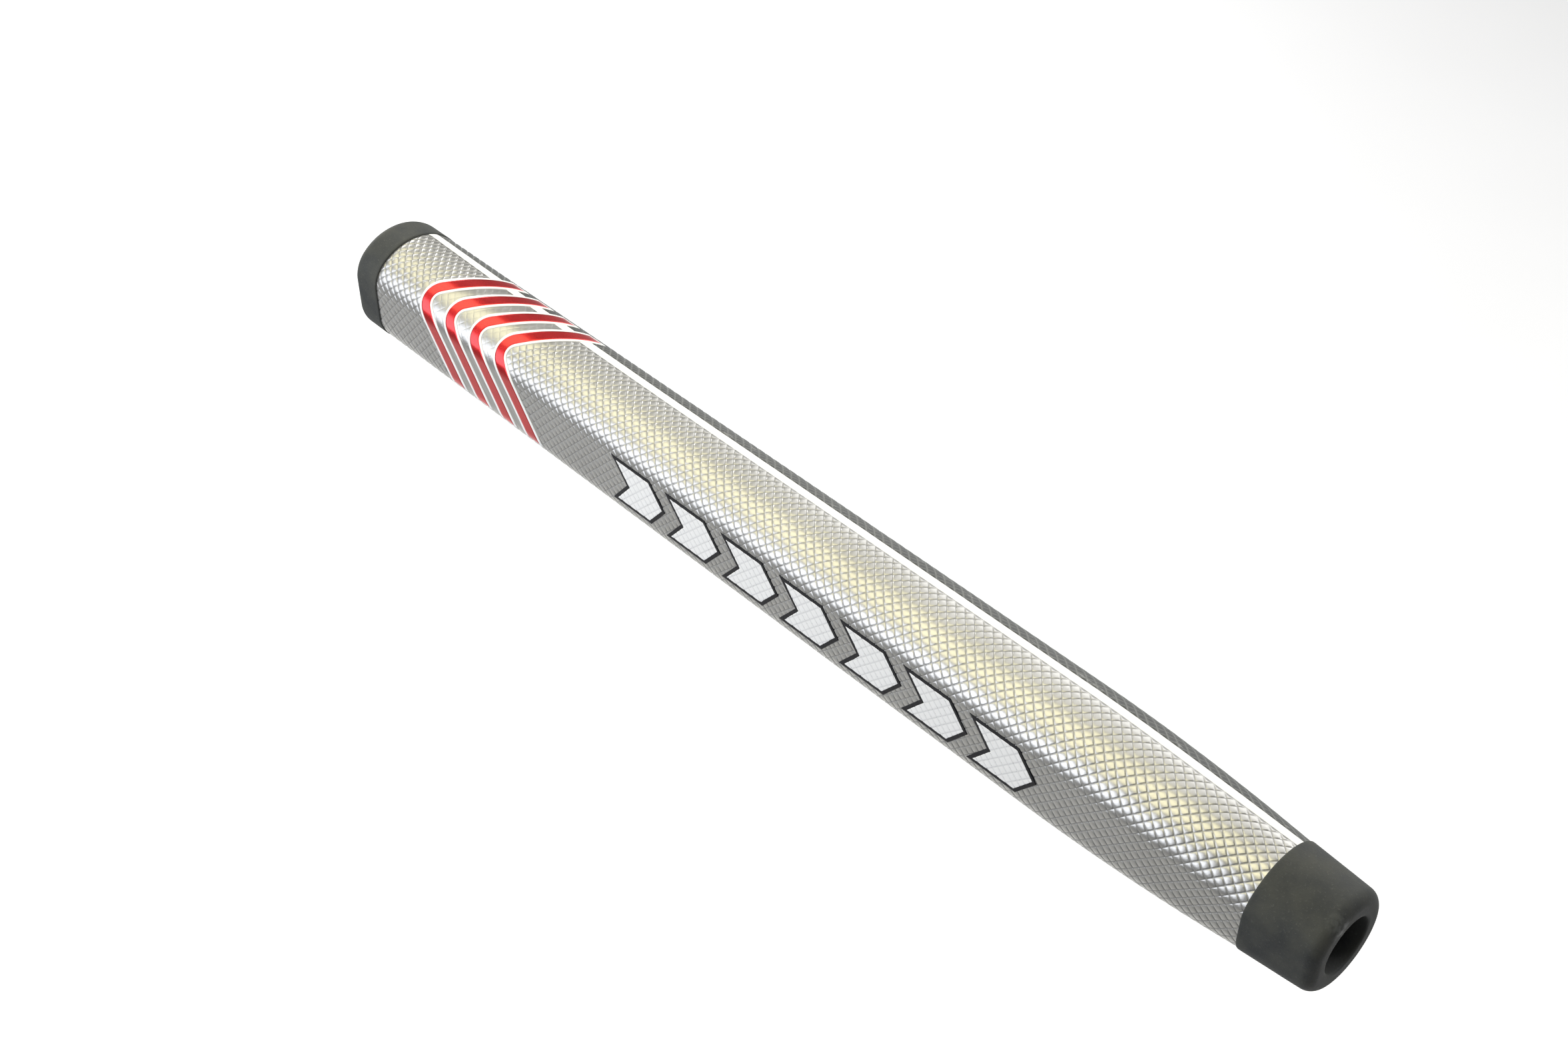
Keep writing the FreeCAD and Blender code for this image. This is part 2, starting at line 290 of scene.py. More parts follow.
@dataclass(frozen=True)
class DiamondLattice:
    """Flat raised diamonds between two families of narrow grooves at about 45 degrees.

    Lattice places count grooves: a groove of the first family lies at each whole number
    of x + girth, and one of the second at each whole number of x - girth, both counted
    in diamonds.

    Attributes:
        steps: grid steps for each diamond's length.
        depth: depth of the grooves.
        shoulder: half width of a groove, as a share of the groove spacing.
        crown: where a diamond's rounded edge ends, as a share of the groove spacing.
        levels: share of the depth at a groove's middle, at its shoulder, at the crown and
            in a diamond's middle.
    """

    steps: int = 6
    depth: float = 0.2
    shoulder: float = 0.07
    crown: float = 0.16
    levels: tuple[float, ...] = (1.0, 0.35, 0.08, 0.0)

    def marks(self) -> list[float]:
        """The places that the levels belong to, counted from a groove's middle."""
        return [0.0, self.shoulder, self.crown, 0.5]

    def warp(self, count: Array) -> Array:
        """Grid steps to lattice places, with the steps drawn in towards the grooves."""
        place = count / self.steps
        whole = np.round(place)
        local = place - whole
        even = np.arange(len(self.levels)) / self.steps
        return whole + np.sign(local) * np.interp(np.abs(local), even, self.marks())

    def groove(self, first: Array, second: Array) -> Array:
        """How deep a place lies, from 1 in a groove to 0 on top: by the nearest groove."""
        near = np.minimum(np.abs(first - np.round(first)), np.abs(second - np.round(second)))
        return np.interp(near, self.marks(), self.levels)

    def triangles(self, rows: int, columns: int, ring: int) -> Array:
        """Triangles of the grid, each quad split along the groove family it lies nearer to."""
        row = np.arange(rows - 1)[:, None]
        column = np.arange(columns - 1)[None, :]
        first = (row + column + 1) / self.steps
        second = (row - column) / self.steps
        far_first = np.abs(first - np.round(first))
        far_second = np.abs(second - np.round(second))
        rising = (far_second < far_first)[..., None]
        low = row * ring + column
        quad = [low, low + 1, low + ring + 1, low + ring]
        one, two, three, four = (np.broadcast_to(corner, low.shape) for corner in quad)
        up = np.stack([one, two, three, one, three, four], axis=-1)
        down = np.stack([one, two, four, two, three, four], axis=-1)
        return np.where(rising, up, down).reshape(-1, 3)


@dataclass(frozen=True)
class ChevronLine:
    """The middle line of a chevron as it is printed, seen along the printing direction.

    The line is an arc about a centre behind the apex, then a straight arm either way. Its
    coordinates are x along the shaft and w across, and on the surface w becomes a girth.
    The calm sizes say how far past the chevrons the ground stays smooth.
    """

    direction: float = math.radians(52.0)
    bend: float = 5.0
    arm_angle: float = math.radians(42.0)
    first_apex: float = 24.0
    pitch: float = 10.8
    count: int = 4
    reach: float = 15.5
    middle: float = 45.0
    samples: int = 2001
    calm_margin: float = 4.3
    calm_fade: float = 0.9
    side_fade: float = 2.0

    def across(self, y: Array, z: Array) -> Array:
        """w of a point: its distance across the printing direction."""
        return y * math.sin(self.direction) + z * math.cos(self.direction)

    def facing(self, y: Array, z: Array) -> Array:
        """Distance of a point from the axis along the printing direction."""
        return z * math.sin(self.direction) - y * math.cos(self.direction)

    def behind_apex(self, w: Array) -> Array:
        """How far the line lies behind its apex at w: the arc's sagitta, then the arm."""
        tangent = self.bend * math.cos(self.arm_angle)
        sagitta = self.bend - np.sqrt(self.bend ** 2 - np.minimum(np.abs(w), tangent) ** 2)
        return sagitta + np.maximum(np.abs(w) - tangent, 0.0) / math.tan(self.arm_angle)

    def points(self, apex: float, share: Array, offset: Array,
               reach: float) -> tuple[Array, Array]:
        """Points beside the line, between the two ends where w is the reach.

        Args:
            apex: x of the line's apex.
            share: place along the line, from -1 to 1.
            offset: distance beside the line, positive away from the arc's centre.
            reach: w at the ends.

        Returns:
            x and w of the points.
        """
        most = 0.5 * math.pi - self.arm_angle
        radius = self.bend + offset
        arm = (reach - radius * math.sin(most)) / math.cos(most)
        run = share * (self.bend * most + arm)
        turn = np.clip(run / self.bend, -most, most)
        rest = run - self.bend * turn
        x = apex + self.bend - radius * np.cos(turn) + rest * np.sin(turn)
        return x, radius * np.sin(turn) + rest * np.cos(turn)

    def girth_of(self, w: Array, form: WrapForm) -> Array:
        """Girth on the printed side at w, read from the outline in the chevrons' middle."""
        outline = form.outline(np.array(self.middle))
        low = self.direction - 0.5 * math.pi
        most = outline.girth_at(low + math.pi)
        span = np.linspace(-outline.girth_at(abs(low)), most, self.samples)
        ring = outline.place(np.array(self.middle), span, np.array(0.0))
        return np.interp(w, self.across(ring[:, 1], ring[:, 2]), span)

    def calm(self, points: Array) -> Array:
        """How smooth the wrap is between the chevrons: 1 among them and 0 away from them."""
        w = self.across(points[..., 1], points[..., 2])
        place = points[..., 0] - self.behind_apex(w)
        last_apex = self.first_apex + self.pitch * (self.count - 1)
        inside = np.minimum(place - self.first_apex, last_apex - place) + self.calm_margin
        ahead = self.facing(points[..., 1], points[..., 2])
        return smooth(inside / self.calm_fade) * smooth(ahead / self.side_fade + 0.5)


FORM = WrapForm()
LATTICE = DiamondLattice()
CHEVRONS = ChevronLine()


# ---------------------------------------------------------------- finishes


class Value:
    """A number running through a material's nodes, with the signs of arithmetic."""

    def __init__(self, tree: bpy.types.NodeTree, socket: bpy.types.NodeSocket) -> None:
        """Keep the node tree and the socket that gives the number."""
        self.tree = tree
        self.socket = socket

    def _math(self, operation: str, first: "Number", second: "Number") -> "Value":
        """Add one Math node on two values or numbers."""
        node = self.tree.nodes.new("ShaderNodeMath")
        node.operation = operation
        for socket, value in zip(node.inputs, (first, second)):
            if isinstance(value, Value):
                self.tree.links.new(value.socket, socket)
            else:
                socket.default_value = value
        return Value(self.tree, node.outputs[0])

    def __add__(self, other: "Number") -> "Value":
        """This value plus another."""
        return self._math("ADD", self, other)

    __radd__ = __add__

    def __sub__(self, other: "Number") -> "Value":
        """This value less another."""
        return self._math("SUBTRACT", self, other)

    def __rsub__(self, other: "Number") -> "Value":
        """Another value less this one."""
        return self._math("SUBTRACT", other, self)

    def __mul__(self, other: "Number") -> "Value":
        """This value times another."""
        return self._math("MULTIPLY", self, other)

    __rmul__ = __mul__

    def above(self, low: float, high: float) -> "Value":
        """0 below low and 1 above high, with a straight ramp between them."""
        share = (self - low) * (1.0 / (high - low))
        return self._math("MAXIMUM", self._math("MINIMUM", share, 1.0), 0.0)


Number = Union[Value, float]
Paint = Union[Colour, bpy.types.NodeSocket]


class Recipe:
    """Builds one material's nodes."""

    def __init__(self, name: str) -> None:
        """Start a material with nothing but its output node."""
        self.material = bpy.data.materials.new(name)
        self.material.use_nodes = True
        self.tree = self.material.node_tree
        self.tree.nodes.clear()
        self.place = self.node("ShaderNodeTexCoord").outputs["Object"]

    def node(self, kind: str, settings: Optional[dict] = None,
             inputs: Optional[dict] = None) -> bpy.types.Node:
        """Add a node.

        Args:
            kind: the node's type.
            settings: its properties, set before its sockets.
            inputs: values, sockets or Value objects by socket name or number.

        Returns:
            The node.
        """
        node = self.tree.nodes.new(kind)
        for key, value in (settings or {}).items():
            setattr(node, key, value)
        for key, value in (inputs or {}).items():
            if isinstance(value, Value):
                self.tree.links.new(value.socket, node.inputs[key])
            elif isinstance(value, bpy.types.NodeSocket):
                self.tree.links.new(value, node.inputs[key])
            else:
                node.inputs[key].default_value = value
        return node

    def noise(self, size: float, detail: float = 2.0, stretch: Optional[tuple] = None) -> Value:
        """Noise from 0 to 1 whose patches are about a size in millimetres across."""
        place = self.place
        if stretch is not None:
            mapping = {"Vector": place, "Scale": stretch}
            place = self.node("ShaderNodeMapping", None, mapping).outputs[0]
        inputs = {"Vector": place, "Scale": 1.0 / (size * MM), "Detail": detail}
        return Value(self.tree, self.node("ShaderNodeTexNoise", None, inputs).outputs[0])

    def cells(self, size: float) -> Value:
        """Distance to the nearest of scattered points a size in millimetres apart."""
        inputs = {"Vector": self.place, "Scale": 1.0 / (size * MM)}
        node = self.node("ShaderNodeTexVoronoi", None, inputs)
        return Value(self.tree, node.outputs["Distance"])

    def attribute(self, name: str) -> Value:
        """A number stored on the piece's points."""
        node = self.node("ShaderNodeAttribute", {"attribute_name": name})
        return Value(self.tree, node.outputs["Fac"])

    def nearness(self, spot: tuple, inner: float, outer: float) -> Value:
        """1 within an inner distance of a spot and 0 past the outer one, in millimetres."""
        inputs = {0: self.place, 1: tuple(part * MM for part in spot)}
        node = self.node("ShaderNodeVectorMath", {"operation": "DISTANCE"}, inputs)
        return 1.0 - Value(self.tree, node.outputs["Value"]).above(inner * MM, outer * MM)

    def blend(self, share: Number, first: Paint, second: Paint) -> bpy.types.NodeSocket:
        """Mix two colours: the first at 0 and the second at 1."""
        settings = {"data_type": "RGBA"}
        return self.node("ShaderNodeMix", settings, {0: share, 6: first, 7: second}).outputs[2]

    def bump(self, height: Value, distance: float, strength: float) -> bpy.types.NodeSocket:
        """A normal tilted by a height, whose full range is a distance in millimetres."""
        inputs = {"Height": height, "Distance": distance * MM, "Strength": strength}
        return self.node("ShaderNodeBump", None, inputs).outputs[0]

    def finish(self, **inputs: object) -> bpy.types.Material:
        """Close the material with a Principled BSDF, its sockets given by name."""
        named = {key.replace("_", " "): value for key, value in inputs.items()}
        shader = self.node("ShaderNodeBsdfPrincipled", None, named)
        self.node("ShaderNodeOutputMaterial", None, {"Surface": shader.outputs[0]})
        return self.material


@dataclass(frozen=True)
class Finish:
    """A finish, made once and shared by the pieces that wear it."""

    name: str

    def recipe(self) -> bpy.types.Material:
        """Build the material. Each kind of finish has its own."""
        raise NotImplementedError

    def material(self) -> bpy.types.Material:
        """The finish's material, built the first time it is asked for."""
        return bpy.data.materials.get(self.name) or self.recipe()


@dataclass(frozen=True)
class PearlSkin(Finish):
    """Embossed polyurethane with a metallic pearl in it, duller in its grooves, where its colour
    is painted shading: painted shade darkens the silver's grooves and painted light lines lighten
    the grey's.

    Attributes:
        tone: colour of the raised diamonds.
        painted_groove_shading_tone: colour in the grooves as painted shading: painted shade where
            it is darker than the tone, painted light lines where it is lighter.
        patch_tone: colour of the soft patches.
        metal: how metallic the pearl is.
        rough: roughness of the raised diamonds.
        painted_shading_reach: groove depths between which the painted groove shading comes in.
        scuff: how strongly light scuffs show.
        scuff_tone: colour of the scuffs.
    """

    tone: Colour
    painted_groove_shading_tone: Colour
    patch_tone: Colour
    metal: float
    rough: float
    painted_shading_reach: tuple[float, float] = (0.15, 1.0)
    scuff: float = 0.0
    scuff_tone: Colour = (0.7, 0.7, 0.69, 1.0)

    def recipe(self) -> bpy.types.Material:
        """Tone by soft patches and by painted shading in the grooves, roughness by grain, and a
        fine pearl grain.
        """
        make = Recipe(self.name)
        groove = make.attribute("groove")
        patches = make.noise(22.0, 3.0)
        grain = make.noise(0.35, 2.0)
        body = make.blend(patches.above(0.35, 0.7), self.tone, self.patch_tone)
        # Painted groove shading: painted shade darkens the silver's grooves and painted light
        # lines lighten the dark grey's.
        colour = make.blend(groove.above(*self.painted_shading_reach) * 0.75, body, self.painted_groove_shading_tone)
        scuffs = make.noise(1.4, 5.0, (0.35, 1.0, 1.0)).above(0.64, 0.7) * self.scuff
        colour = make.blend(scuffs * (1.0 - groove), colour, self.scuff_tone)
        rough = self.rough + (grain - 0.5) * 0.16 + groove * 0.12 + scuffs * 0.15
        metal = self.metal * (1.0 - scuffs) - groove * (0.25 * self.metal)
        return make.finish(
            Base_Color=colour, Metallic=metal, Roughness=rough,
            Normal=make.bump(grain + patches * 0.6, 0.02, 0.55), Coat_Weight=0.12,
            Coat_Roughness=0.28,
        )


@dataclass(frozen=True)
class WhiteStrip(Finish):
    """Smooth white polyurethane, a little duller in patches, with small dirty specks."""

    tone: Colour = (0.85, 0.865, 0.89, 1.0)
    patch_tone: Colour = (0.82, 0.825, 0.83, 1.0)
    speck_tone: Colour = (0.5, 0.49, 0.47, 1.0)

    def recipe(self) -> bpy.types.Material:
        """White with slow duller patches, small specks and a soft orange peel."""
        make = Recipe(self.name)
        patches = make.noise(14.0, 3.0)
        specks = make.noise(0.5, 3.0).above(0.68, 0.74)
        body = make.blend(patches.above(0.3, 0.75), self.tone, self.patch_tone)
        colour = make.blend(specks * 0.3, body, self.speck_tone)
        return make.finish(
            Base_Color=colour, Roughness=0.34 + patches * 0.12,
            Normal=make.bump(make.noise(1.1, 2.0), 0.02, 0.5),
        )


@dataclass(frozen=True)
class RedFilm(Finish):
    """Smooth metallic red film under a clear coat."""

    tone: Colour = (0.52, 0.007, 0.013, 1.0)
    flake_tone: Colour = (0.82, 0.03, 0.028, 1.0)
    dark_tone: Colour = (0.36, 0.004, 0.01, 1.0)

    def recipe(self) -> bpy.types.Material:
        """Red with a fine flake that moves its tone and normal a little."""
        make = Recipe(self.name)
        flake = make.noise(0.16, 1.0)
        patches = make.noise(9.0, 2.0)
        body = make.blend(flake.above(0.35, 0.75), self.tone, self.flake_tone)
        colour = make.blend(patches.above(0.45, 0.8) * 0.35, body, self.dark_tone)
        return make.finish(
            Base_Color=colour, Metallic=0.88, Roughness=0.3 + (flake - 0.5) * 0.12,
            Normal=make.bump(flake + make.noise(2.4, 2.0) * 2.0, 0.008, 0.5),
            Coat_Weight=0.6, Coat_Roughness=0.16,
        )


@dataclass(frozen=True)
class PrintedFilm(Finish):
    """Printed ink film that follows the embossing and is worn a little on its tops, with painted
    shade in its grooves.
    """

    tone: Colour
    painted_groove_shading_tone: Colour
    worn_tone: Colour
    rough: float
    gloss: float = 0.5

    def recipe(self) -> bpy.types.Material:
        """The ink's tone, darkened in the grooves as painted shade, and worn in small specks."""
        make = Recipe(self.name)
        groove = make.attribute("groove")
        specks = make.noise(0.7, 4.0).above(0.6, 0.72)
        body = make.blend(specks * 0.45, self.tone, self.worn_tone)
        # Painted shade: the ink's colour is darkened in the grooves.
        colour = make.blend(groove.above(0.03, 0.3) * 0.65, body, self.painted_groove_shading_tone)
        return make.finish(
            Base_Color=colour, Roughness=self.rough + (make.noise(1.8) - 0.5) * 0.2,
            Normal=make.bump(make.noise(0.3, 2.0), 0.015, 0.5), Specular_IOR_Level=self.gloss,
        )


@dataclass(frozen=True)
class MouldedRubber(Finish):
    """Matt charcoal rubber, mottled by handling, with a worn spot that is rubbed shiny and painted
    lighter as a highlight.
    """

    rubbed_highlight_spot: tuple[float, float, float]
    rubbed_highlight_core: float = 0.6
    rubbed_highlight_reach: float = 3.4
    tone: Colour = (0.026, 0.029, 0.03, 1.0)
    mottle_tone: Colour = (0.052, 0.054, 0.049, 1.0)
    dust_tone: Colour = (0.12, 0.12, 0.11, 1.0)
    # Colour of the rubbed spot: a painted highlight.
    worn_tone: Colour = (0.17, 0.18, 0.18, 1.0)

    def recipe(self) -> bpy.types.Material:
        """Charcoal in two tones, with dust, fine pores and a spot rubbed smooth whose lighter
        colour is a painted highlight.
        """
        make = Recipe(self.name)
        mottle = make.noise(5.5, 5.0)
        dust = make.noise(0.55, 3.0)
        fine = make.noise(0.22, 2.0)
        near = make.nearness(self.rubbed_highlight_spot, self.rubbed_highlight_core, self.rubbed_highlight_reach)
        worn = near * make.noise(1.2, 3.0).above(0.35, 0.6)
        body = make.blend(mottle.above(0.35, 0.68), self.tone, self.mottle_tone)
        dusty = make.blend(dust.above(0.6, 0.75) * 0.3, body, self.dust_tone)
        # Painted highlight: the rubbed spot is lightened in colour, while its lower roughness is
        # real wear.
        colour = make.blend(worn * 0.4, dusty, self.worn_tone)
        rough = 0.72 + (mottle - 0.5) * 0.3 - worn * 0.35
        height = fine + dust * 1.4 + mottle
        return make.finish(
            Base_Color=colour, Roughness=rough, Specular_IOR_Level=0.42,
            Normal=make.bump(height, 0.05, 0.6),
        )


@dataclass(frozen=True)
class ClosedFoam(Finish):
    """Black closed-cell foam."""

    tone: Colour = (0.02, 0.02, 0.021, 1.0)
    wall_tone: Colour = (0.055, 0.055, 0.056, 1.0)

    def recipe(self) -> bpy.types.Material:
        """Near-black, with small round cells."""
        make = Recipe(self.name)
        cells = make.cells(0.5)
        colour = make.blend(cells.above(0.1, 0.6), self.tone, self.wall_tone)
        return make.finish(Base_Color=colour, Roughness=0.9 - cells * 0.1,
                           Normal=make.bump(cells, 0.15, 0.8))


@dataclass(frozen=True)
class Felt(Finish):
    """Grey felt of tangled fibres."""

    tone: Colour = (0.16, 0.16, 0.165, 1.0)
    fibre_tone: Colour = (0.38, 0.38, 0.37, 1.0)

    def recipe(self) -> bpy.types.Material:
        """Mid grey, with long thin fibres crossing."""
        make = Recipe(self.name)
        one = make.noise(0.5, 4.0, (0.2, 1.0, 1.0))
        two = make.noise(0.5, 4.0, (1.0, 0.2, 1.0))
        fibres = (one + two) * 0.5
        colour = make.blend(fibres.above(0.35, 0.65), self.tone, self.fibre_tone)
        return make.finish(Base_Color=colour, Roughness=0.95 - fibres * 0.05,
                           Normal=make.bump(fibres, 0.12, 0.8))


@dataclass(frozen=True)
class StudioFloor(Finish):
    """Matt near-white floor."""

    def recipe(self) -> bpy.types.Material:
        """White with a barely seen mottle."""
        make = Recipe(self.name)
        mottle = make.noise(300.0, 2.0)
        colour = make.blend(mottle, (0.9, 0.9, 0.9, 1.0), (0.93, 0.93, 0.93, 1.0))
        return make.finish(Base_Color=colour, Roughness=0.9 + mottle * 0.05)


class Palette(Enum):
    """The grip's finishes."""

    # The silver's second colour, darker than its tone, is painted shade in the grooves.
    SILVER = PearlSkin(
        "silver_pearl_skin", (0.47, 0.465, 0.45, 1.0), (0.2, 0.2, 0.197, 1.0),
        (0.44, 0.435, 0.42, 1.0), 0.9, 0.34,
    )
    # The dark grey's second colour, lighter than its tone, is painted light lines along the
    # grooves.
    GREY = PearlSkin(
        "dark_grey_skin", (0.062, 0.066, 0.066, 1.0), (0.21, 0.215, 0.215, 1.0),
        (0.045, 0.048, 0.048, 1.0), 0.3, 0.55, (0.02, 0.45), 0.25,
    )
    WHITE_STRIP = WhiteStrip("white_strip")
    RED = RedFilm("red_metallic_film")
    # Each ink's second colour, darker than its tone, is painted shade in the grooves.
    WHITE_INK = PrintedFilm(
        "white_ink", (0.85, 0.85, 0.85, 1.0), (0.48, 0.48, 0.5, 1.0), (0.8, 0.78, 0.75, 1.0), 0.42,
    )
    DARK_INK = PrintedFilm(
        "dark_ink", (0.006, 0.006, 0.009, 1.0), (0.004, 0.004, 0.006, 1.0),
        (0.02, 0.02, 0.024, 1.0), 0.4, 0.2,
    )
    # The spot near the collar's mouth is rubbed smoother and painted lighter as a highlight.
    RUBBER = MouldedRubber("charcoal_rubber", (320.2, -4.5, 9.6))
    FOAM = ClosedFoam("black_foam")
    FELT = Felt("grey_felt")
    FLOOR = StudioFloor("studio_floor")


def add_object(name: str, mesh: bpy.types.Mesh, finish: Palette) -> bpy.types.Object:
    """Put a mesh in the scene, unturned at the origin, with its finish."""
    mesh.materials.append(finish.value.material())
    made = bpy.data.objects.new(name, mesh)
    bpy.context.scene.collection.objects.link(made)
    return made


def hand_over(name: str, surface: Surface, finish: Palette, slot: str, *nodes: str) -> None:
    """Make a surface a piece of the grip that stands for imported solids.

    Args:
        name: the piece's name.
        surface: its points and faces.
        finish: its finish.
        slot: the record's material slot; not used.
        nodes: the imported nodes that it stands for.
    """
    piece = add_object(name, surface.mesh(name), finish)
    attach(piece, BODY)
    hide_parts(*nodes)
    LOG.info("%s: %d faces", name, len(piece.data.polygons))


# ---------------------------------------------------------------- the wrap


@dataclass
class EmbossedPanel:
    """One embossed panel of the wrap, as a closed skin between two girths.

    Attributes:
        name: the piece's name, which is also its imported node's.
        finish: its finish.
        slot: the record's material slot.
        cells: how many diamonds lie side by side across it.
        low: girth of its lower edge at x.
        high: girth of its upper edge at x.
        lengths: how many diamonds lie along it.
        seam_low: whether the lower edge turns in at the back seam.
        seam_high: whether the upper edge does.
        edge_depth: share of the grooves' depth left at the panel's edges.
        calm_share: share of the depth that is lost among the chevrons.
        sunk: how far the face lies below the outline, which keeps it inside the solids.
    """

    name: str
    finish: Palette
    slot: str
    cells: int
    low: Callable[[Array], Array]
    high: Callable[[Array], Array]
    lengths: int = 105
    seam_low: bool = False
    seam_high: bool = False
    under_columns: int = 9
    turn_in: float = 0.3
    turn_width: float = 0.9
    end_dip: float = 0.18
    end_fade: float = 1.2
    edge_depth: float = 0.35
    edge_fade: float = 0.9
    calm_share: float = 0.8
    uneven: float = 0.012
    uneven_size: float = 1.9
    sunk: float = 0.02

    def relief(self, x: Array, girth: Array) -> Array:
        """Groove depth from 0 to 1 anywhere on the panel, by the place in the lattice."""
        along = (x - FORM.start) / (FORM.end - FORM.start) * self.lengths
        across = (girth - self.low(x)) / (self.high(x) - self.low(x)) * self.cells
        return LATTICE.groove(along + across, along - across)

    def edge_dip(self, x: Array, girth: Array) -> Array:
        """How far the skin dips at a seam and where it runs under the butt cap."""
        dip = self.end_dip * (1.0 - smooth((x - FORM.start) / self.end_fade))
        if self.seam_low:
            dip = dip + self.turn_in * (1.0 - smooth((girth - self.low(x)) / self.turn_width))
        if self.seam_high:
            dip = dip + self.turn_in * (1.0 - smooth((self.high(x) - girth) / self.turn_width))
        return dip

    def surface(self) -> Surface:
        """The panel's skin.

        The outer face is a grid whose steps gather at the grooves: x and girth come from
        half the sum and half the difference of the two warped lattice places. The inner
        face is a plain grid one skin thickness below, and each row closes on itself.
        """
        rows = self.lengths * LATTICE.steps + 1
        columns = self.cells * LATTICE.steps + 1
        row = np.arange(rows)[:, None]
        column = np.arange(columns)[None, :]
        first = LATTICE.warp(row + column)
        second = LATTICE.warp(row - column)
        x = FORM.start + (first + second) * 0.5 / self.lengths * (FORM.end - FORM.start)
        across = (first - second) * 0.5 / self.cells
        girth = self.low(x) + (self.high(x) - self.low(x)) * across
        groove = LATTICE.groove(first, second)
        outline = FORM.outline(x)
        calm = CHEVRONS.calm(outline.place(x, girth, np.array(0.0)))
        near_edge = np.minimum(girth - self.low(x), self.high(x) - girth)
        full = self.edge_depth + (1.0 - self.edge_depth) * smooth(near_edge / self.edge_fade)
        groove = groove * (1.0 - self.calm_share * calm) * full
        uneven = self.uneven * ripple(x, girth, self.uneven_size) - self.sunk
        lift = -LATTICE.depth * groove - self.edge_dip(x, girth) + uneven
        top = outline.place(x, girth, lift)
        under_x = x[:, :1]
        share = np.linspace(1.0, 0.0, self.under_columns)[None, :]
        under_girth = self.low(under_x) + (self.high(under_x) - self.low(under_x)) * share
        under = FORM.outline(under_x).place(under_x, under_girth, np.array(-FORM.skin))
        points = np.concatenate([top, under], axis=1)
        grooves = np.concatenate([groove, np.zeros(under.shape[:2])], axis=1)
        ring = points.shape[1]
        shell = tube_surface(points, grooves)
        sides = ring_quads(rows, ring, columns - 1)
        faces = [LATTICE.triangles(rows, columns, ring), sides, shell.faces[1]]
        return Surface(shell.points, faces, shell.groove)

    def build(self) -> None:
        """Make the panel and hand it over."""
        hand_over(self.name, self.surface(), self.finish, self.slot, self.name)


def front_edge(x: Array) -> Array:
    """Girth where the silver panel ends at the stripe."""
    return FORM.stripe_girth(x) - 0.5 * FORM.stripe_width


def back_edge(x: Array) -> Array:
    """Girth where the dark panel starts at the stripe."""
    return FORM.stripe_girth(x) + 0.5 * FORM.stripe_width


def seam_edge(x: Array) -> Array:
    """Girth where the dark panel ends at the back seam."""
    return FORM.outline(x).half_girth() - 0.5 * FORM.seam_gap


FRONT = EmbossedPanel("front_skin", Palette.SILVER, "silver_skin", 19,
                      lambda x: -front_edge(x), front_edge)


@dataclass
class Wrap:
    """The wrap: the silver front, the dark back halves and the white side stripes.

    A stripe's profile is given as shares of its half width and as lifts.
    """

    stripe_rows: int = 420
    stripe_profile: tuple[tuple[float, float], ...] = (
        (-1.0, -0.55), (-1.0, -0.1), (-0.95, -0.035), (-0.85, -0.012), (-0.45, 0.0), (0.0, 0.0),
        (0.45, 0.0), (0.85, -0.012), (0.95, -0.035), (1.0, -0.1), (1.0, -0.55),
    )
    stripe_overlap: float = 0.02
    waver: float = 0.03
    waver_size: float = 2.3
    waver_place: float = 5.0
    stripe_dip: float = 0.12
    end_fade: float = 1.2
    uneven: float = 0.008
    uneven_size: float = 3.0
    sunk: float = 0.01

    def panels(self) -> list[EmbossedPanel]:
        """The three embossed panels."""
        right = EmbossedPanel("right_back_skin", Palette.GREY, "grey_skin", 6,
                              back_edge, seam_edge, seam_high=True)
        left = EmbossedPanel("left_back_skin", Palette.GREY, "grey_skin", 6,
                             lambda x: -seam_edge(x), lambda x: -back_edge(x), seam_low=True)
        return [FRONT, right, left]

    def stripe(self, side: float) -> Surface:
        """A stripe: a low rounded profile carried along the stripe's girth.

        Args:
            side: 1 for the right side and -1 for the left.

        Returns:
            The closed strip.
        """
        x = np.linspace(FORM.start, FORM.end, self.stripe_rows)[:, None]
        across, level = np.array(self.stripe_profile).T[:, None, :]
        edge = np.sign(across)
        waver = self.waver * ripple(x, np.array(side * self.waver_place), self.waver_size)
        half = 0.5 * FORM.stripe_width + self.stripe_overlap + waver * edge
        girth = FORM.stripe_girth(x) + np.abs(across) * half * edge
        dip = self.stripe_dip * (1.0 - smooth((x - FORM.start) / self.end_fade))
        lift = level - dip + self.uneven * ripple(x, girth, self.uneven_size) - self.sunk
        return tube_surface(FORM.outline(x).place(x, girth * side, lift))

    def build(self) -> None:
        """Make the panels and both stripes."""
        for panel in self.panels():
            panel.build()
        for side, name in ((1.0, "right_pinstripe"), (-1.0, "left_pinstripe")):
            hand_over(name, self.stripe(side), Palette.WHITE_STRIP, "white_skin", name)


# ---------------------------------------------------------------- the printed graphics


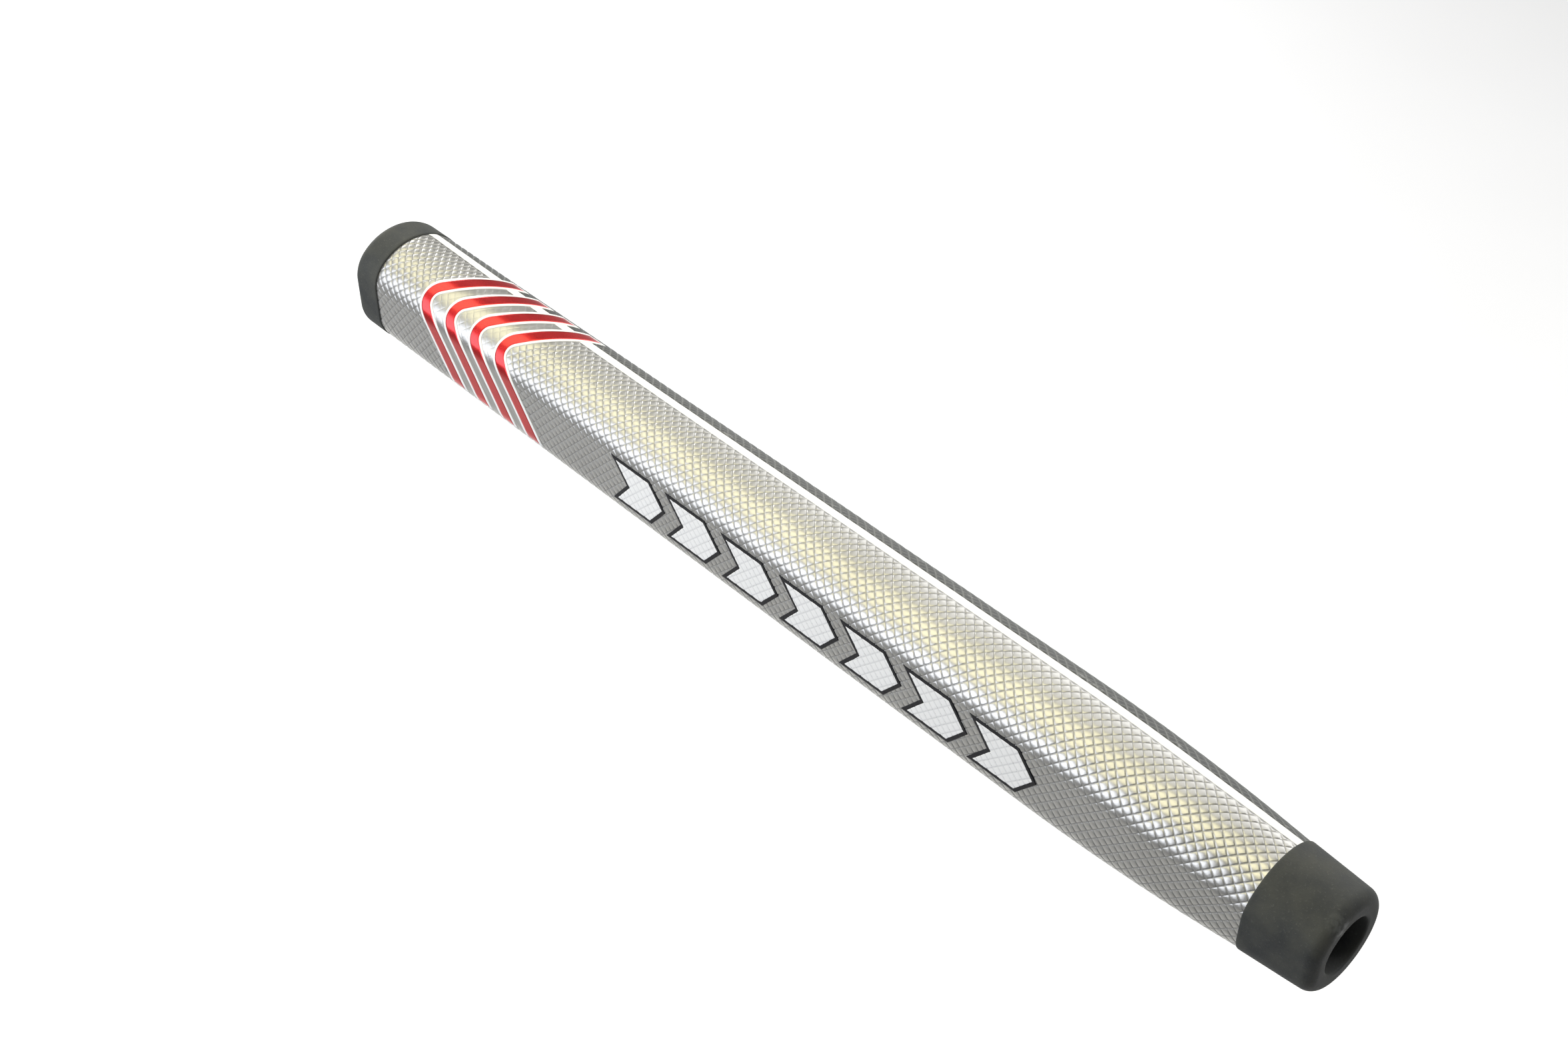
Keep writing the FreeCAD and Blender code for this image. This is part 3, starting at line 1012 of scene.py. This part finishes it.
@dataclass
class ChevronBands:
    """The nested red chevrons near the butt, each on a white film that borders it."""

    red_half: float = 1.6
    border: float = 0.75
    end_border: float = 0.15
    rows: int = 180
    inner_columns: int = 9
    red_lift: float = 0.115
    border_lift: float = 0.085
    sunk: float = -0.32
    edge: float = 0.05

    def film(self, apex: float, half: float, reach: float, lift: float) -> Surface:
        """A film: a flat profile with softened edges, carried along the chevron's line.

        Args:
            apex: x of the line's apex.
            half: half the film's width.
            reach: where its ends lie across the printing direction.
            lift: height of its top.

        Returns:
            The closed film, its underside sunk into the skin.
        """
        inner = np.linspace(-half + self.edge, half - self.edge, self.inner_columns)
        offset = np.concatenate([[-half, -half], inner, [half, half]])
        heights = np.full(len(offset), lift)
        heights[[1, -2]] = lift - self.edge
        heights[[0, -1]] = self.sunk
        share = np.linspace(-1.0, 1.0, self.rows)[:, None]
        x, w = CHEVRONS.points(apex, share, offset[None, :], reach)
        girth = CHEVRONS.girth_of(w, FORM)
        return tube_surface(FORM.outline(x).place(x, girth, heights[None, :]))

    def build(self) -> None:
        """Make the red bands and their borders."""
        for index in range(CHEVRONS.count):
            apex = CHEVRONS.first_apex + index * CHEVRONS.pitch
            red = self.film(apex, self.red_half, CHEVRONS.reach, self.red_lift)
            name = f"red_band_{index + 1}"
            hand_over(name, red, Palette.RED, "red_film", name)
            half, reach = self.red_half + self.border, CHEVRONS.reach + self.end_border
            white = self.film(apex, half, reach, self.border_lift)
            name = f"band_border_{index + 1}"
            hand_over(name, white, Palette.WHITE_INK, "white_film", name)


@dataclass
class ArrowBlocks:
    """The row of white arrow blocks on the flat, each on a dark film that outlines it."""

    count: int = 7
    first: float = 106.0
    pitch: float = 20.6
    length: float = 17.5
    half_height: float = 6.3
    point: float = 5.0
    border: float = 0.9
    steps: int = 64
    fill_lift: float = 0.115
    border_lift: float = 0.08
    fill_follow: float = 0.3
    border_follow: float = 0.15
    sunk: float = -0.32
    edge: float = 0.05

    def plate(self, start: float, widen: float, lift: float, follow: float) -> Surface:
        """An arrow plate: each row across the flat runs from its notch to its point.

        A row's ends lie one point length back from the middle row's, in proportion to the
        row's height, so the plate is a sheared rectangle either side of the middle.

        Args:
            start: x of the block's two rear corners.
            widen: how far the plate reaches past the block's outline.
            lift: height of its top over the diamonds' tops.
            follow: share of the embossing's depth that shows through it.

        Returns:
            The closed plate, its underside sunk into the skin.
        """
        height = self.half_height + widen
        slant = widen * math.hypot(1.0, self.point / self.half_height)
        z = np.linspace(-height, height, self.steps + 1)[:, None]
        lean = self.point * (1.0 - np.abs(z) / self.half_height)
        share = np.linspace(0.0, 1.0, self.steps)[None, :]
        span = self.length - self.point + 2.0 * slant
        x = start - slant + lean + share * span
        groove = FRONT.relief(x, z) * follow
        soft = np.zeros_like(x)
        soft[:, 0] = soft[:, -1] = self.edge
        soft[0, :] = soft[-1, :] = self.edge
        top = FORM.outline(x).place(x, z, lift - LATTICE.depth * groove - soft)
        ends = x[:, [-1, 0]]
        rim = FORM.outline(ends).place(ends, z, np.array(self.sunk))
        points = np.concatenate([top, rim], axis=1)
        return tube_surface(points, np.concatenate([groove, np.zeros(ends.shape)], axis=1))

    def build(self) -> None:
        """Make the fills and their outlines."""
        for index in range(self.count):
            start = self.first + index * self.pitch
            fill = self.plate(start, 0.0, self.fill_lift, self.fill_follow)
            name = f"block_fill_{index + 1}"
            hand_over(name, fill, Palette.WHITE_INK, "white_film", name)
            outline = self.plate(start, self.border, self.border_lift, self.border_follow)
            name = f"block_border_{index + 1}"
            hand_over(name, outline, Palette.DARK_INK, "dark_film", name)


# ---------------------------------------------------------------- the moulded ends


@dataclass(frozen=True)
class ProfileRow:
    """One ring of a moulded end.

    Attributes:
        x: place along the shaft.
        inset: how far inside the outer outline the ring lies.
        circle: share by which the ring is a circle instead of the outline.
        circle_radius: radius of that circle.
    """

    x: float
    inset: float = 0.0
    circle: float = 0.0
    circle_radius: float = 0.0


@dataclass
class MouldedEnd:
    """A moulded rubber end: rings of one profile, closed round the shaft and on itself."""

    name: str
    around: int = 256
    wear: float = 0.02
    wear_size: float = 2.7

    def outline(self, x: Array) -> Outline:
        """The outer outline at x. Each end has its own."""
        raise NotImplementedError

    def profile(self) -> list[ProfileRow]:
        """The rings in order, each next to its neighbours. Each end has its own."""
        raise NotImplementedError

    def surface(self) -> Surface:
        """Rings between the outline moved inwards and a circle about the axis.

        A ring's points lie at even shares of the outline's girth, and the same share of
        a full turn gives the matching points of its circle.
        """
        rows = self.profile()
        x = np.array([row.x for row in rows])[:, None]
        inset = np.array([row.inset for row in rows])[:, None]
        circle = np.array([row.circle for row in rows])[:, None, None]
        radius = np.array([row.circle_radius for row in rows])[:, None]
        share = np.linspace(-1.0, 1.0, self.around, endpoint=False)[None, :]
        outline = self.outline(x)
        girth = outline.half_girth() * share
        wear = self.wear * ripple(x, girth, self.wear_size) - self.wear
        ring = outline.place(x, girth, wear - inset)
        angle = np.arctan2(ring[..., 2], -ring[..., 1])
        circle_y, circle_z = -radius * np.cos(angle), radius * np.sin(angle)
        disc = np.stack(np.broadcast_arrays(x, circle_y, circle_z), axis=-1)
        points = ring * (1.0 - circle) + disc * circle
        quads = ring_quads(len(rows), self.around, round_rows=True)
        return Surface(points.reshape(-1, 3), [quads])

    def build(self) -> None:
        """Make the end and hand it over."""
        hand_over(self.name, self.surface(), Palette.RUBBER, "cap_rubber", self.name)


def fillet_rows(x: float, radius: float, sign: float, count: int) -> list[ProfileRow]:
    """Rings of a quarter round between an end face and a side.

    Args:
        x: place of the end face.
        radius: radius of the round.
        sign: 1 if the side runs towards +X from the face, or -1.
        count: how many steps the round has.

    Returns:
        The rings, from the face to the side.
    """
    turns = np.linspace(0.0, 0.5 * math.pi, count + 1)
    return [
        ProfileRow(x + sign * radius * (1.0 - math.cos(turn)), radius * (1.0 - math.sin(turn)))
        for turn in turns
    ]


def side_rows(start: float, end: float, count: int) -> list[ProfileRow]:
    """Rings on the outer outline, at even steps from just past the start to the end."""
    return [ProfileRow(float(x)) for x in np.linspace(start, end, count + 1)[1:]]


def bore_rows(radius: float, *places: float) -> list[ProfileRow]:
    """Rings that are circles about the axis."""
    return [ProfileRow(x, 0.0, 1.0, radius) for x in places]


@dataclass
class ButtCap(MouldedEnd):
    """The cap over the butt end, with a vent and two rings moulded in its end.

    The rings' places and width are shares of the way from the outline to the vent.
    """

    name: str = "butt_cap"
    end: float = -7.0
    rim: float = 3.0
    radius: float = 16.15
    end_flat: float = 14.2
    end_corner: float = 11.0
    proud: float = 0.1
    rounding: float = 2.4
    vent: float = 1.2
    vent_round: float = 0.35
    skirt: float = 3.3
    lip: float = 0.3
    soften: float = 0.08
    ring_places: tuple[float, float] = (0.42, 0.52)
    ring_depth: float = 0.25
    ring_width: float = 0.022
    face_rows: int = 33

    def outline(self, x: Array) -> Outline:
        """The wrap's outline at the rim, a little proud, turning rounder towards the end."""
        rim = FORM.outline(np.full_like(x, self.rim))
        share = np.clip((x - self.end) / (self.rim - self.end), 0.0, 1.0)
        flat = self.end_flat + (rim.flat + self.proud - self.end_flat) * share
        corner = self.end_corner + (rim.corner + self.proud - self.end_corner) * share
        return Outline(np.full_like(x, self.radius), flat, corner)

    def end_face(self) -> list[ProfileRow]:
        """The end face from the vent out: a flat with two shallow ring grooves."""
        rows = []
        inner = self.vent + self.vent_round
        for circle in np.linspace(1.0, 0.0, self.face_rows):
            away = [(circle - place) / self.ring_width for place in self.ring_places]
            ring = self.ring_depth * sum(math.exp(-share ** 2) for share in away)
            rows.append(ProfileRow(self.end + ring, self.rounding, float(circle), inner))
        return rows

    def profile(self) -> list[ProfileRow]:
        """Vent, end face, rounded rim, side, lip, skirt and inner face."""
        vent = bore_rows(self.vent, 0.0, 0.5 * self.end, self.end + self.vent_round)
        corner = fillet_rows(self.end, self.rounding, 1.0, 10)[1:]
        side = side_rows(self.end + self.rounding, self.rim - self.lip, 13)
        lip = [ProfileRow(self.rim - self.soften, self.soften), ProfileRow(self.rim, self.lip)]
        skirt = [ProfileRow(self.rim, self.skirt), ProfileRow(0.0, self.skirt)]
        return vent + self.end_face() + corner + side + lip + skirt


@dataclass
class TipCollar(MouldedEnd):
    """The collar at the tip, whose lip holds the wrap's end down."""

    name: str = "tip_collar"
    start: float = 303.0
    mouth: float = 321.0
    radius: float = 13.75
    end_radius: float = 12.5
    flat_share: float = 0.94
    rounding: float = 2.8
    bore: float = 7.15
    neck: float = 10.5
    neck_end: float = 314.0
    lip: float = 0.3
    face_reach: float = 0.5
    mouth_bevel: tuple[float, float] = (0.15, 0.12)

    def outline(self, x: Array) -> Outline:
        """A straight taper from the lip to the mouth, with a faint flat."""
        share = (x - self.start) / (self.mouth - self.start)
        radius = self.radius + (self.end_radius - self.radius) * share
        return Outline(radius, self.flat_share * radius, np.full_like(x, FORM.corner))

    def profile(self) -> list[ProfileRow]:
        """Lip, side, rounded end, mouth, bore, neck socket and the seat for the wrap."""
        wrap_radius = float(FORM.outline(np.array(FORM.end)).radius)
        lip = fillet_rows(self.start, self.lip, 1.0, 4)
        side = side_rows(self.start + self.lip, self.mouth - self.rounding, 25)
        end = fillet_rows(self.mouth, self.rounding, -1.0, 12)[::-1][1:]
        face = [
            ProfileRow(self.mouth, self.rounding, float(circle), self.bore + self.face_reach)
            for circle in np.linspace(0.2, 1.0, 5)
        ]
        wide, deep = self.mouth_bevel
        edge = bore_rows(self.bore + wide, self.mouth - deep)
        bore = bore_rows(self.bore, self.mouth - 0.5, self.mouth - 4.0, self.neck_end)
        socket = bore_rows(self.neck, self.neck_end, FORM.end)
        inset = self.radius - wrap_radius
        seat = [ProfileRow(FORM.end, inset), ProfileRow(self.start, inset)]
        return lip + side + end + face + edge + bore + socket + seat


# ---------------------------------------------------------------- hidden pieces


HIDDEN = {
    "foam_sleeve": Palette.FOAM, "felt_backing": Palette.FELT, "seam_welt": Palette.FELT,
}


def dress_hidden() -> None:
    """Give the foam, the felt and the seam's welt a finish: they keep their solids."""
    for name, finish in HIDDEN.items():
        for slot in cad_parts[name].material_slots:
            slot.material = finish.value.material()
        LOG.info("%s: dressed", name)


# ---------------------------------------------------------------- the studio


@dataclass(frozen=True)
class SoftLight:
    """A soft rectangular light that faces a point, its first side level with the shaft.

    Attributes:
        name: the light's name.
        place: the light's middle, in metres.
        target: the point that it faces, in metres.
        size: metres along the shaft and across.
        radiance: how bright its face is, in watts per square metre and steradian.
        tint: colour of the light.
    """

    name: str
    place: tuple[float, float, float]
    target: tuple[float, float, float]
    size: tuple[float, float]
    radiance: float
    tint: tuple[float, float, float]

    def build(self) -> None:
        """Place the light. Its power is its radiance times pi times its area."""
        data = bpy.data.lights.new(self.name, "AREA")
        data.shape = "RECTANGLE"
        data.size, data.size_y = self.size
        data.energy = self.radiance * math.pi * self.size[0] * self.size[1]
        data.color = self.tint
        light = bpy.data.objects.new(self.name, data)
        light.location = self.place
        outward = (Vector(self.place) - Vector(self.target)).normalized()
        across = outward.cross(Vector((1.0, 0.0, 0.0))).normalized()
        light.rotation_mode = "QUATERNION"
        turn = Matrix((across.cross(outward), across, outward)).transposed()
        light.rotation_quaternion = turn.to_quaternion()
        bpy.context.scene.collection.objects.link(light)


@dataclass
class Studio:
    """The pale floor, the soft lights, the even surroundings and the camera.

    The floor and the lights are in metres, and the camera's lengths in millimetres.
    """

    floor_drop: float = 1.15
    floor_size: float = 60.0
    surroundings: float = 0.2
    lens: float = 50.0
    sensor: float = 36.0
    camera_azimuth: float = math.radians(46.5)
    camera_elevation: float = math.radians(41.8)
    camera_distance: float = 537.8
    aim_along: float = 149.8
    aim_right: float = 2.705
    aim_up: float = 3.819
    lights: tuple[SoftLight, ...] = (
        SoftLight("cool_strip", (-0.29, -0.565, 0.205), (-0.29, 0.0, 0.0), (1.0, 0.48),
                  3.45, (0.87, 0.91, 1.0)),
        SoftLight("warm_strip", (-0.2, -0.19, 0.67), (-0.2, 0.0, 0.0), (1.2, 0.46),
                  2.6, (1.0, 0.94, 0.62)),
        SoftLight("top_card", (-0.1, 0.56, 0.72), (-0.1, 0.0, 0.0), (0.9, 0.95),
                  1.35, (1.0, 0.99, 0.95)),
        SoftLight("back_card", (-0.1, 0.98, 0.28), (-0.1, 0.0, 0.0), (1.1, 0.7),
                  1.8, (1.0, 1.0, 1.0)),
        SoftLight("floor_light", (-3.0, 0.8, 0.45), (-2.1, 1.35, -0.6), (1.8, 1.8),
                  9.5, (1.0, 1.0, 1.0)),
        SoftLight("near_light", (1.2, 1.6, 0.8), (0.6, 2.0, -0.4), (1.4, 1.4),
                  5.5, (1.0, 1.0, 1.0)),
    )

    def build_floor(self) -> None:
        """A wide flat square below the grip, which the shaft holds above it."""
        half = 0.5 * self.floor_size
        level = CAD_BOX[0][2] - self.floor_drop
        signs = ((-1.0, -1.0), (1.0, -1.0), (1.0, 1.0), (-1.0, 1.0))
        corners = [(half * along, half * across, level) for along, across in signs]
        mesh = bpy.data.meshes.new("floor")
        mesh.from_pydata(corners, [], [(0, 1, 2, 3)])
        add_object("floor", mesh, Palette.FLOOR)

    def build_surroundings(self) -> None:
        """Even white light from all round."""
        world = bpy.data.worlds.new("surroundings")
        world.use_nodes = True
        background = world.node_tree.nodes["Background"]
        background.inputs["Color"].default_value = (1.0, 1.0, 1.0, 1.0)
        background.inputs["Strength"].default_value = self.surroundings
        bpy.context.scene.world = world

    def build_camera(self) -> None:
        """The camera, upright, looking at a point beside the shaft's axis."""
        turn, rise = self.camera_azimuth, self.camera_elevation
        level = math.cos(rise)
        back = Vector((math.sin(turn) * level, -math.cos(turn) * level, math.sin(rise)))
        right = Vector((math.cos(turn), math.sin(turn), 0.0))
        up = back.cross(right)
        aim = Vector((self.aim_along, 0.0, 0.0)) + right * self.aim_right + up * self.aim_up
        data = bpy.data.cameras.new("camera")
        data.lens = self.lens
        data.sensor_width = self.sensor
        data.clip_start = 0.01
        camera = bpy.data.objects.new("camera", data)
        camera.location = (aim + back * self.camera_distance) * MM
        camera.rotation_mode = "QUATERNION"
        camera.rotation_quaternion = (-back).to_track_quat("-Z", "Y")
        bpy.context.scene.collection.objects.link(camera)
        bpy.context.scene.camera = camera

    def build(self) -> None:
        """Make the whole studio."""
        bpy.context.scene.view_settings.view_transform = "Standard"
        self.build_floor()
        self.build_surroundings()
        for light in self.lights:
            light.build()
        self.build_camera()


def main() -> None:
    """Build the grip and its studio."""
    logging.basicConfig(level=logging.INFO, format="%(name)s %(message)s")
    Studio().build()
    Wrap().build()
    ChevronBands().build()
    ArrowBlocks().build()
    ButtCap().build()
    TipCollar().build()
    dress_hidden()


if __name__ == "__main__":
    main()
